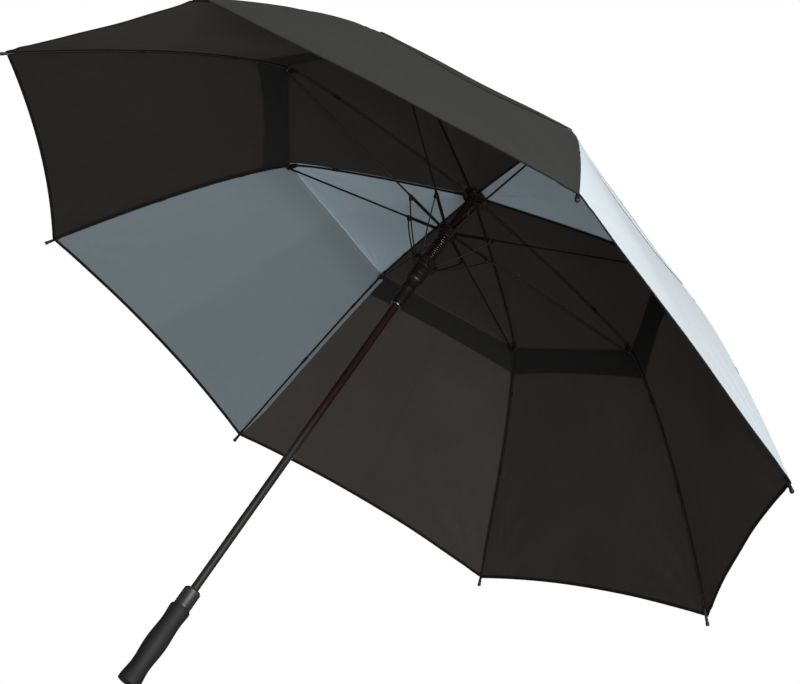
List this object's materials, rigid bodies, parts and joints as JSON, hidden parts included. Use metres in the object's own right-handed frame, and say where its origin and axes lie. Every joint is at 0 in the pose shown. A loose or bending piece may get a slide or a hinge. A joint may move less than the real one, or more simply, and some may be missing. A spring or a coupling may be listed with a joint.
{
  "type": "golf umbrella",
  "caption": "Large open umbrella with a vented double canopy, folding ribs and stretchers, a runner on a straight shaft and a contoured grip with a push button.",
  "frame": {"origin": "centre of the grip's flat butt", "axes": "+Z along the shaft towards the ferrule; +X towards rib 1; ribs are numbered clockwise seen from above"},
  "size_m": [1.3236, 1.3236, 0.962],
  "materials": {
    "black_cloth": "matte",
    "black_fibreglass": "satin",
    "black_steel": "satin",
    "bright_steel": "polished",
    "soft_grip": "matte",
    "black_plastic": "satin"
  },
  "bodies": {
    "handle": {"shaft": "black_fibreglass", "grip": "soft_grip", "grip_end_cap": "black_plastic", "handle_collar": "black_plastic", "top_notch": "black_plastic", "canopy_cap": "black_cloth", "ferrule": "black_plastic"},
    "button": {"push_button": "black_plastic"},
    "hub": {"stretcher_hub": "black_plastic"},
    "runner": {"runner": "black_plastic", "runner_end_ring": "bright_steel", "opening_spring": "black_steel"},
    "rib_1": {"rib_inner_1": "black_fibreglass", "upper_gore_1": "black_cloth"},
    "rib_end_1": {"rib_outer_1": "black_fibreglass", "lower_gore_1": "black_cloth"},
    "stretcher_1": {"stretcher_1": "black_steel"},
    "link_1": {"link_1": "black_steel"},
    "rib_2": {"rib_inner_2": "black_fibreglass", "upper_gore_2": "black_cloth"},
    "rib_end_2": {"rib_outer_2": "black_fibreglass", "lower_gore_2": "black_cloth"},
    "stretcher_2": {"stretcher_2": "black_steel"},
    "link_2": {"link_2": "black_steel"},
    "rib_3": {"rib_inner_3": "black_fibreglass", "upper_gore_3": "black_cloth"},
    "rib_end_3": {"rib_outer_3": "black_fibreglass", "lower_gore_3": "black_cloth"},
    "stretcher_3": {"stretcher_3": "black_steel"},
    "link_3": {"link_3": "black_steel"},
    "rib_4": {"rib_inner_4": "black_fibreglass", "upper_gore_4": "black_cloth"},
    "rib_end_4": {"rib_outer_4": "black_fibreglass", "lower_gore_4": "black_cloth"},
    "stretcher_4": {"stretcher_4": "black_steel"},
    "link_4": {"link_4": "black_steel"},
    "rib_5": {"rib_inner_5": "black_fibreglass", "upper_gore_5": "black_cloth"},
    "rib_end_5": {"rib_outer_5": "black_fibreglass", "lower_gore_5": "black_cloth"},
    "stretcher_5": {"stretcher_5": "black_steel"},
    "link_5": {"link_5": "black_steel"},
    "rib_6": {"rib_inner_6": "black_fibreglass", "upper_gore_6": "black_cloth"},
    "rib_end_6": {"rib_outer_6": "black_fibreglass", "lower_gore_6": "black_cloth"},
    "stretcher_6": {"stretcher_6": "black_steel"},
    "link_6": {"link_6": "black_steel"},
    "rib_7": {"rib_inner_7": "black_fibreglass", "upper_gore_7": "black_cloth"},
    "rib_end_7": {"rib_outer_7": "black_fibreglass", "lower_gore_7": "black_cloth"},
    "stretcher_7": {"stretcher_7": "black_steel"},
    "link_7": {"link_7": "black_steel"},
    "rib_8": {"rib_inner_8": "black_fibreglass", "upper_gore_8": "black_cloth"},
    "rib_end_8": {"rib_outer_8": "black_fibreglass", "lower_gore_8": "black_cloth"},
    "stretcher_8": {"stretcher_8": "black_steel"},
    "link_8": {"link_8": "black_steel"}
  },
  "joints": [
    {"name": "canopy_fold", "type": "hinge", "parent": "handle", "child": "rib_1", "pos_m": [0.012, 0, 0.889], "axis": [0, 1, 0], "range_deg": [0, 82.6], "stiffness_Nm_per_rad": 1.2, "springref_deg": -148.97, "deforming": ["upper_gore_1"]},
    {"name": "rib_1_bend", "type": "hinge", "parent": "rib_1", "child": "rib_end_1", "pos_m": [0.335, 0, 0.857], "axis": [0, 1, 0], "range_deg": [-33.47, 0], "deforming": ["lower_gore_1"]},
    {"name": "stretcher_1_fold", "type": "hinge", "parent": "rib_1", "child": "stretcher_1", "pos_m": [0.335, 0, 0.852], "axis": [0, 1, 0], "range_deg": [-165.22, 0]},
    {"name": "link_1_fold", "type": "hinge", "parent": "stretcher_1", "child": "link_1", "pos_m": [0.07417, 0, 0.81709], "axis": [0, 1, 0], "range_deg": [0, 43.21]},
    {"name": "rib_2_fold", "type": "hinge", "parent": "handle", "child": "rib_2", "pos_m": [0.00848, -0.00848, 0.889], "axis": [0.7071, 0.7071, 0], "range_deg": [0, 82.62], "deforming": ["upper_gore_2"]},
    {"name": "rib_2_bend", "type": "hinge", "parent": "rib_2", "child": "rib_end_2", "pos_m": [0.23688, -0.23688, 0.857], "axis": [0.7071, 0.7071, 0], "range_deg": [-33.47, 0], "deforming": ["lower_gore_2"]},
    {"name": "stretcher_2_fold", "type": "hinge", "parent": "rib_2", "child": "stretcher_2", "pos_m": [0.23688, -0.23688, 0.852], "axis": [0.7071, 0.7071, 0], "range_deg": [-165.22, 0]},
    {"name": "link_2_fold", "type": "hinge", "parent": "stretcher_2", "child": "link_2", "pos_m": [0.05244, -0.05244, 0.81709], "axis": [0.7071, 0.7071, 0], "range_deg": [0, 43.21]},
    {"name": "rib_3_fold", "type": "hinge", "parent": "handle", "child": "rib_3", "pos_m": [0, -0.012, 0.889], "axis": [1, 0, 0], "range_deg": [0, 82.62], "deforming": ["upper_gore_3"]},
    {"name": "rib_3_bend", "type": "hinge", "parent": "rib_3", "child": "rib_end_3", "pos_m": [0, -0.335, 0.857], "axis": [1, 0, 0], "range_deg": [-33.47, 0], "deforming": ["lower_gore_3"]},
    {"name": "stretcher_3_fold", "type": "hinge", "parent": "rib_3", "child": "stretcher_3", "pos_m": [0, -0.335, 0.852], "axis": [1, 0, 0], "range_deg": [-165.22, 0]},
    {"name": "link_3_fold", "type": "hinge", "parent": "stretcher_3", "child": "link_3", "pos_m": [0, -0.07417, 0.81709], "axis": [1, 0, 0], "range_deg": [0, 43.21]},
    {"name": "rib_4_fold", "type": "hinge", "parent": "handle", "child": "rib_4", "pos_m": [-0.00848, -0.00848, 0.889], "axis": [0.7071, -0.7071, 0], "range_deg": [0, 82.62], "deforming": ["upper_gore_4"]},
    {"name": "rib_4_bend", "type": "hinge", "parent": "rib_4", "child": "rib_end_4", "pos_m": [-0.23688, -0.23688, 0.857], "axis": [0.7071, -0.7071, 0], "range_deg": [-33.47, 0], "deforming": ["lower_gore_4"]},
    {"name": "stretcher_4_fold", "type": "hinge", "parent": "rib_4", "child": "stretcher_4", "pos_m": [-0.23688, -0.23688, 0.852], "axis": [0.7071, -0.7071, 0], "range_deg": [-165.22, 0]},
    {"name": "link_4_fold", "type": "hinge", "parent": "stretcher_4", "child": "link_4", "pos_m": [-0.05244, -0.05244, 0.81709], "axis": [0.7071, -0.7071, 0], "range_deg": [0, 43.21]},
    {"name": "rib_5_fold", "type": "hinge", "parent": "handle", "child": "rib_5", "pos_m": [-0.012, 0, 0.889], "axis": [0, -1, 0], "range_deg": [0, 82.62], "deforming": ["upper_gore_5"]},
    {"name": "rib_5_bend", "type": "hinge", "parent": "rib_5", "child": "rib_end_5", "pos_m": [-0.335, 0, 0.857], "axis": [0, -1, 0], "range_deg": [-33.47, 0], "deforming": ["lower_gore_5"]},
    {"name": "stretcher_5_fold", "type": "hinge", "parent": "rib_5", "child": "stretcher_5", "pos_m": [-0.335, 0, 0.852], "axis": [0, -1, 0], "range_deg": [-165.22, 0]},
    {"name": "link_5_fold", "type": "hinge", "parent": "stretcher_5", "child": "link_5", "pos_m": [-0.07417, 0, 0.81709], "axis": [0, -1, 0], "range_deg": [0, 43.21]},
    {"name": "rib_6_fold", "type": "hinge", "parent": "handle", "child": "rib_6", "pos_m": [-0.00848, 0.00848, 0.889], "axis": [-0.7071, -0.7071, 0], "range_deg": [0, 82.62], "deforming": ["upper_gore_6"]},
    {"name": "rib_6_bend", "type": "hinge", "parent": "rib_6", "child": "rib_end_6", "pos_m": [-0.23688, 0.23688, 0.857], "axis": [-0.7071, -0.7071, 0], "range_deg": [-33.47, 0], "deforming": ["lower_gore_6"]},
    {"name": "stretcher_6_fold", "type": "hinge", "parent": "rib_6", "child": "stretcher_6", "pos_m": [-0.23688, 0.23688, 0.852], "axis": [-0.7071, -0.7071, 0], "range_deg": [-165.22, 0]},
    {"name": "link_6_fold", "type": "hinge", "parent": "stretcher_6", "child": "link_6", "pos_m": [-0.05244, 0.05244, 0.81709], "axis": [-0.7071, -0.7071, 0], "range_deg": [0, 43.21]},
    {"name": "rib_7_fold", "type": "hinge", "parent": "handle", "child": "rib_7", "pos_m": [0, 0.012, 0.889], "axis": [-1, 0, 0], "range_deg": [0, 82.62], "deforming": ["upper_gore_7"]},
    {"name": "rib_7_bend", "type": "hinge", "parent": "rib_7", "child": "rib_end_7", "pos_m": [0, 0.335, 0.857], "axis": [-1, 0, 0], "range_deg": [-33.47, 0], "deforming": ["lower_gore_7"]},
    {"name": "stretcher_7_fold", "type": "hinge", "parent": "rib_7", "child": "stretcher_7", "pos_m": [0, 0.335, 0.852], "axis": [-1, 0, 0], "range_deg": [-165.22, 0]},
    {"name": "link_7_fold", "type": "hinge", "parent": "stretcher_7", "child": "link_7", "pos_m": [0, 0.07417, 0.81709], "axis": [-1, 0, 0], "range_deg": [0, 43.21]},
    {"name": "rib_8_fold", "type": "hinge", "parent": "handle", "child": "rib_8", "pos_m": [0.00848, 0.00848, 0.889], "axis": [-0.7071, 0.7071, 0], "range_deg": [0, 82.62], "deforming": ["upper_gore_8"]},
    {"name": "rib_8_bend", "type": "hinge", "parent": "rib_8", "child": "rib_end_8", "pos_m": [0.23688, 0.23688, 0.857], "axis": [-0.7071, 0.7071, 0], "range_deg": [-33.47, 0], "deforming": ["lower_gore_8"]},
    {"name": "stretcher_8_fold", "type": "hinge", "parent": "rib_8", "child": "stretcher_8", "pos_m": [0.23688, 0.23688, 0.852], "axis": [-0.7071, 0.7071, 0], "range_deg": [-165.22, 0]},
    {"name": "link_8_fold", "type": "hinge", "parent": "stretcher_8", "child": "link_8", "pos_m": [0.05244, 0.05244, 0.81709], "axis": [-0.7071, 0.7071, 0], "range_deg": [0, 43.21]},
    {"name": "hub_ride", "type": "hinge", "parent": "stretcher_1", "child": "hub", "pos_m": [0.012, 0, 0.815], "axis": [0, 1, 0], "range_deg": [0, 82.62]},
    {"name": "runner_slide", "type": "slide", "parent": "hub", "child": "runner", "axis": [0, 0, 1], "range_m": [0, 0.03904], "deforming": ["opening_spring"]},
    {"name": "button_press", "type": "slide", "parent": "handle", "child": "button", "axis": [0.1392, 0.9903, 0], "range_m": [0, 0.0015], "stiffness_N_per_m": 400, "springref_m": -0.002}
  ],
  "couplings": [
    {"joint": "rib_1_bend", "follows": "canopy_fold", "ratio": -0.405},
    {"joint": "stretcher_1_fold", "follows": "canopy_fold", "ratio": -2},
    {"joint": "link_1_fold", "follows": "canopy_fold", "ratio": 0.52284},
    {"joint": "rib_2_fold", "follows": "canopy_fold", "ratio": 1},
    {"joint": "rib_2_bend", "follows": "canopy_fold", "ratio": -0.405},
    {"joint": "stretcher_2_fold", "follows": "canopy_fold", "ratio": -2},
    {"joint": "link_2_fold", "follows": "canopy_fold", "ratio": 0.52284},
    {"joint": "rib_3_fold", "follows": "canopy_fold", "ratio": 1},
    {"joint": "rib_3_bend", "follows": "canopy_fold", "ratio": -0.405},
    {"joint": "stretcher_3_fold", "follows": "canopy_fold", "ratio": -2},
    {"joint": "link_3_fold", "follows": "canopy_fold", "ratio": 0.52284},
    {"joint": "rib_4_fold", "follows": "canopy_fold", "ratio": 1},
    {"joint": "rib_4_bend", "follows": "canopy_fold", "ratio": -0.405},
    {"joint": "stretcher_4_fold", "follows": "canopy_fold", "ratio": -2},
    {"joint": "link_4_fold", "follows": "canopy_fold", "ratio": 0.52284},
    {"joint": "rib_5_fold", "follows": "canopy_fold", "ratio": 1},
    {"joint": "rib_5_bend", "follows": "canopy_fold", "ratio": -0.405},
    {"joint": "stretcher_5_fold", "follows": "canopy_fold", "ratio": -2},
    {"joint": "link_5_fold", "follows": "canopy_fold", "ratio": 0.52284},
    {"joint": "rib_6_fold", "follows": "canopy_fold", "ratio": 1},
    {"joint": "rib_6_bend", "follows": "canopy_fold", "ratio": -0.405},
    {"joint": "stretcher_6_fold", "follows": "canopy_fold", "ratio": -2},
    {"joint": "link_6_fold", "follows": "canopy_fold", "ratio": 0.52284},
    {"joint": "rib_7_fold", "follows": "canopy_fold", "ratio": 1},
    {"joint": "rib_7_bend", "follows": "canopy_fold", "ratio": -0.405},
    {"joint": "stretcher_7_fold", "follows": "canopy_fold", "ratio": -2},
    {"joint": "link_7_fold", "follows": "canopy_fold", "ratio": 0.52284},
    {"joint": "rib_8_fold", "follows": "canopy_fold", "ratio": 1},
    {"joint": "rib_8_bend", "follows": "canopy_fold", "ratio": -0.405},
    {"joint": "stretcher_8_fold", "follows": "canopy_fold", "ratio": -2},
    {"joint": "link_8_fold", "follows": "canopy_fold", "ratio": 0.52284},
    {"joint": "hub_ride", "follows": "canopy_fold", "ratio": 1},
    {"joint": "runner_slide", "follows": "canopy_fold", "m_per_rad": 0.027065}
  ]
}
